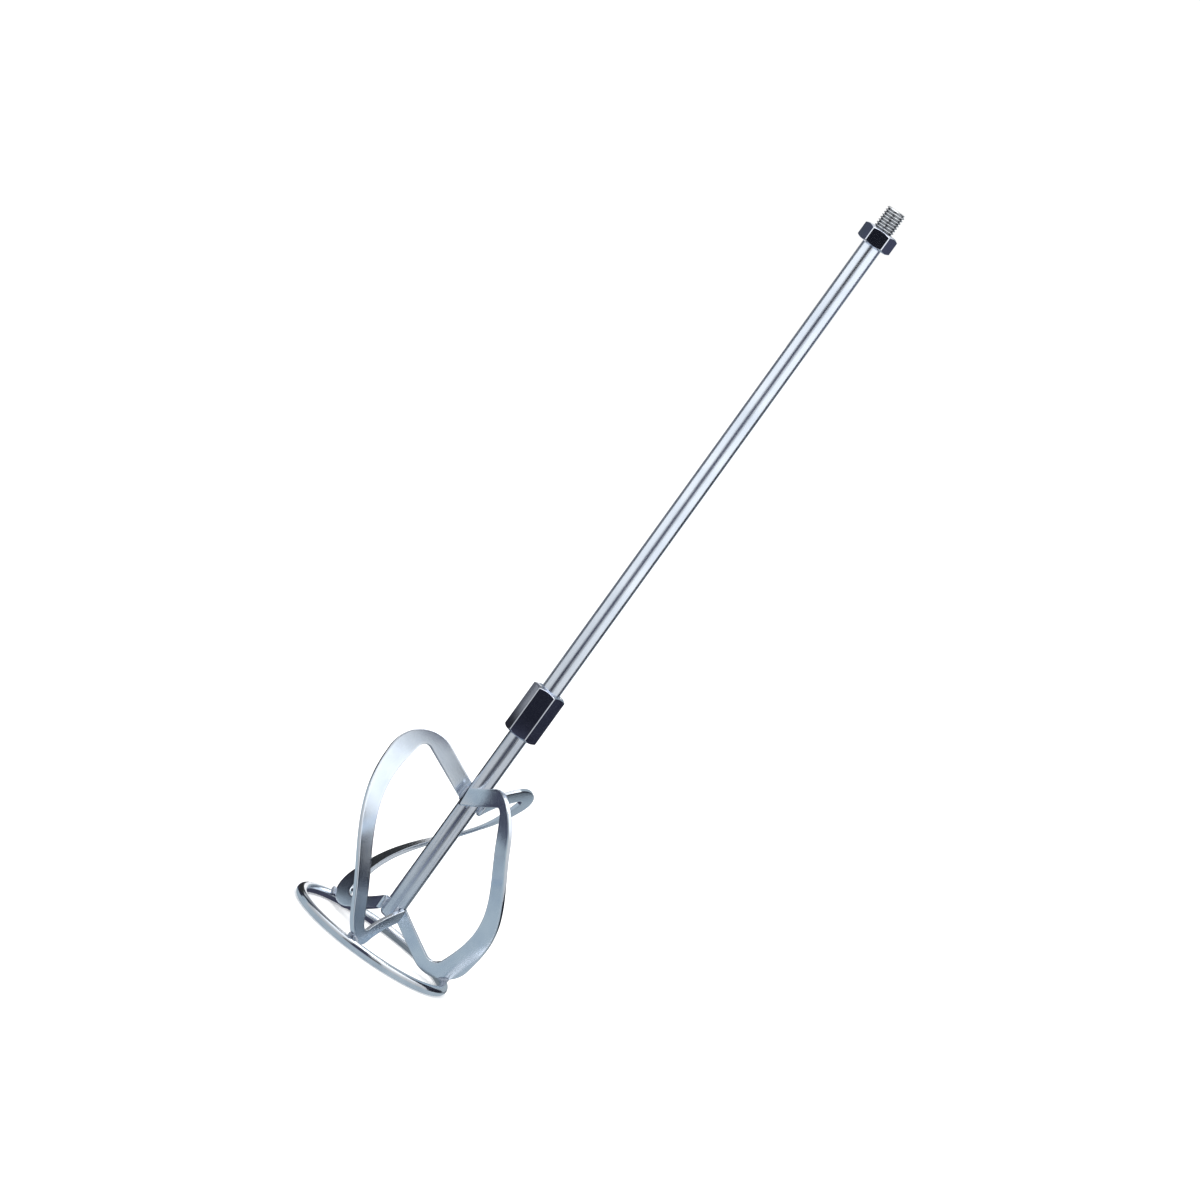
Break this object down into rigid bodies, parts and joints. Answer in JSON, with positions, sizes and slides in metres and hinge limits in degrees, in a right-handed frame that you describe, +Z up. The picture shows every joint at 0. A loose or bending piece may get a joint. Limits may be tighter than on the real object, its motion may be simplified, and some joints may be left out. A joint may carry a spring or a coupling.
{
  "type": "mortar mixing paddle",
  "caption": "Long round shaft with a threaded drive stud and lock nut, joined by a long hex nut to a mixing head of looped helical strip blades on a round-wire base ring.",
  "frame": {"origin": "on the floor plane under the base ring, at the middle of the tool seen from above, which is the shaft axis to within 3.1 mm", "axes": "+Z runs up the shaft axis towards the drive stud, +Y points away from the viewer's side, +X to the viewer's right"},
  "size_m": [0.1325, 0.1297, 0.6],
  "materials": {
    "shaft_zinc": "bright zinc plate over drawn round steel",
    "nut_zinc": "bright blue zinc plate over cold-formed hex steel",
    "blade_zinc": "satin blue-white zinc plate over pressed strip steel",
    "ring_zinc": "bright zinc plate over round wire",
    "weld_zinc": "zinc plate over weld bead"
  },
  "bodies": {
    "mixing_head": {"lower_shaft": "shaft_zinc", "blade_1": "blade_zinc", "blade_2": "blade_zinc", "blade_3": "blade_zinc", "base_ring": "ring_zinc", "shaft_top_welds": "weld_zinc", "shaft_foot_welds": "weld_zinc", "ring_welds": "weld_zinc"},
    "coupling": {"coupling_nut": "nut_zinc"},
    "upper": {"upper_shaft": "shaft_zinc"},
    "lock": {"lock_nut": "nut_zinc"}
  },
  "joints": [
    {"name": "coupling_turn", "type": "hinge", "parent": "mixing_head", "child": "coupling", "pos_m": [0, 0, 0.19075], "axis": [0, 0, 1], "continuous": true},
    {"name": "upper_shaft_draw", "type": "slide", "parent": "coupling", "child": "upper", "axis": [0, 0, 1], "range_m": [0, 0.018]},
    {"name": "lock_nut_run", "type": "slide", "parent": "upper", "child": "lock", "axis": [0, 0, 1], "range_m": [0, 0.016]}
  ]
}
